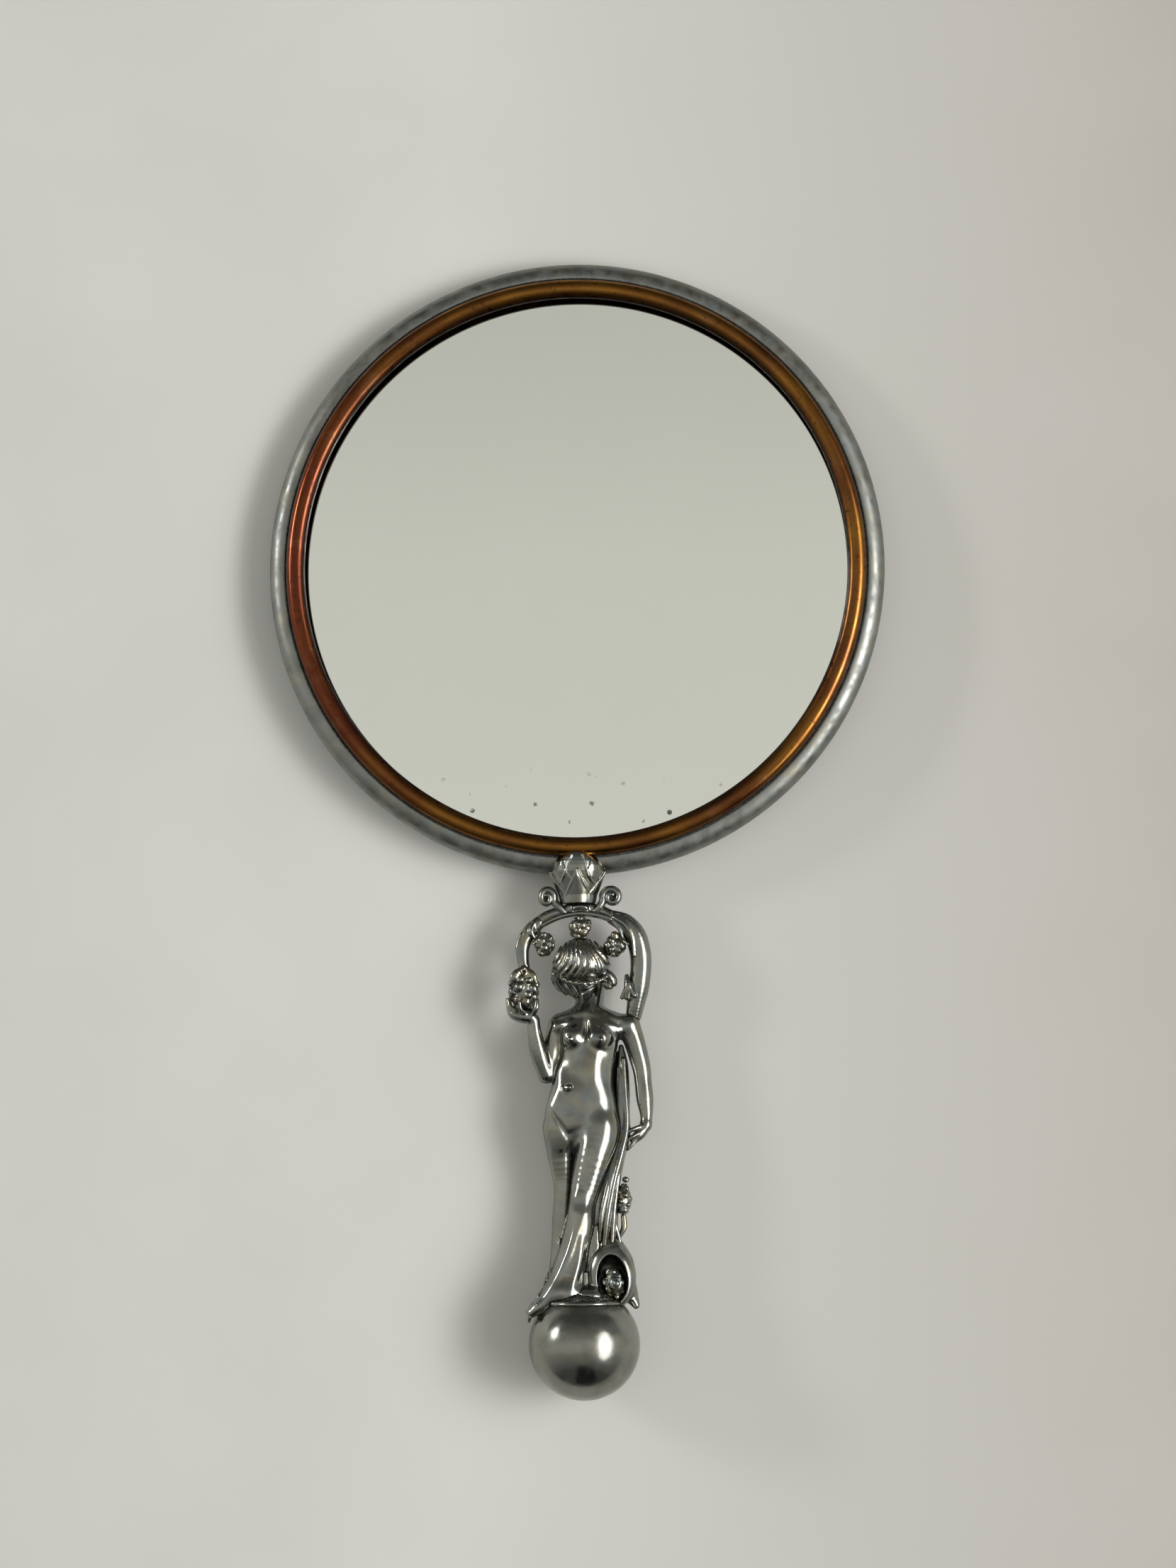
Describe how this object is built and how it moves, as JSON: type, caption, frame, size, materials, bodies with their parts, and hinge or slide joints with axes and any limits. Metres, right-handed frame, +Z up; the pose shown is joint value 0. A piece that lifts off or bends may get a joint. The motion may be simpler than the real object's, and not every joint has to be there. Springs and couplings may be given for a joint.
{
  "type": "hand mirror",
  "caption": "Round hand mirror in a pewter rim with a copper bezel, on a cast figural handle: fruit-hung arch, standing woman with grapes, drapery, horn of plenty, and a ball at the end.",
  "frame": {"origin": "the middle of the bounding box's footprint, on the table that the mirror lies on, glass up", "axes": "+Y from the ball towards the rim's far edge, +X to the right as the glass is looked at with the handle near the viewer, +Z up out of the glass"},
  "size_m": [0.1412, 0.26, 0.0252],
  "materials": {
    "pewter_rim": "satin",
    "copper_bezel": "polished",
    "clear_glass": "polished",
    "silvering": "polished",
    "grey_card": "matte",
    "pewter_plate": "satin",
    "spring_steel": "satin",
    "pewter_casting": "satin",
    "pewter_fruit": "satin",
    "pewter_figure": "satin",
    "pewter_ball": "gloss",
    "steel_pin": "satin"
  },
  "bodies": {
    "root": {"rim_ring": "pewter_rim", "bezel_ring": "copper_bezel", "mirror_glass": "clear_glass", "silver_backing": "silvering", "backing_card": "grey_card", "back_plate": "pewter_plate", "snap_ring": "spring_steel", "leaf_collar": "pewter_casting", "tang_dowel": "steel_pin", "arch_crown": "pewter_casting", "arch_left_branch": "pewter_casting", "arch_right_band": "pewter_casting", "scroll_left": "pewter_casting", "scroll_right": "pewter_casting", "fruit_left": "pewter_fruit", "fruit_centre": "pewter_fruit", "fruit_right": "pewter_fruit", "figure": "pewter_figure", "grape_bunch": "pewter_fruit", "side_drapery": "pewter_casting", "back_veil": "pewter_casting", "calf_bunch": "pewter_fruit", "horn_of_plenty": "pewter_casting", "horn_fruit": "pewter_fruit", "plinth": "pewter_casting", "ball_upper_shell": "pewter_ball", "ball_lower_shell": "pewter_ball", "ball_stud": "steel_pin", "ball_nut": "steel_pin"}
  },
  "joints": []
}
